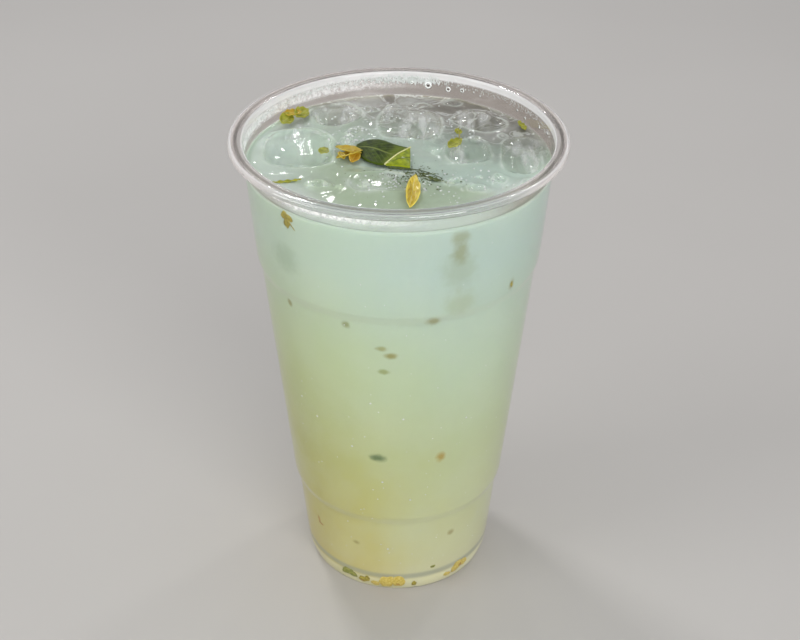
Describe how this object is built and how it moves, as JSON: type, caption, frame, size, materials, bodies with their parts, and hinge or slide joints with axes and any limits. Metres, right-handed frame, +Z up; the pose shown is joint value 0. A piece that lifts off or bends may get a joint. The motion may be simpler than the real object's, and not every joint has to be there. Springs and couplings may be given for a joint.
{
  "type": "iced lemonade in a clear plastic cup",
  "caption": "Clear tapered drinking cup with a rolled rim and denesting ledges, filled with pale cloudy lemonade, with floating ice and a folded mint leaf.",
  "frame": {"origin": "centre of the foot ring, on the ground", "axes": "+Z up along the cup's axis, +X to the drinker's right, -Y towards the front that the leaf's folded end faces"},
  "size_m": [0.098, 0.098, 0.15],
  "materials": {
    "clear_plastic": "clear, glossy",
    "lemonade": "cloudy, wet",
    "ice": "wet, clear with a faint cloud",
    "mint": "wet leaf"
  },
  "bodies": {
    "root": {"cup": "clear_plastic", "lemonade": "lemonade", "ice_1": "ice", "ice_2": "ice", "ice_3": "ice", "ice_4": "ice", "ice_5": "ice", "ice_6": "ice", "ice_7": "ice", "mint_leaf": "mint"}
  },
  "joints": []
}
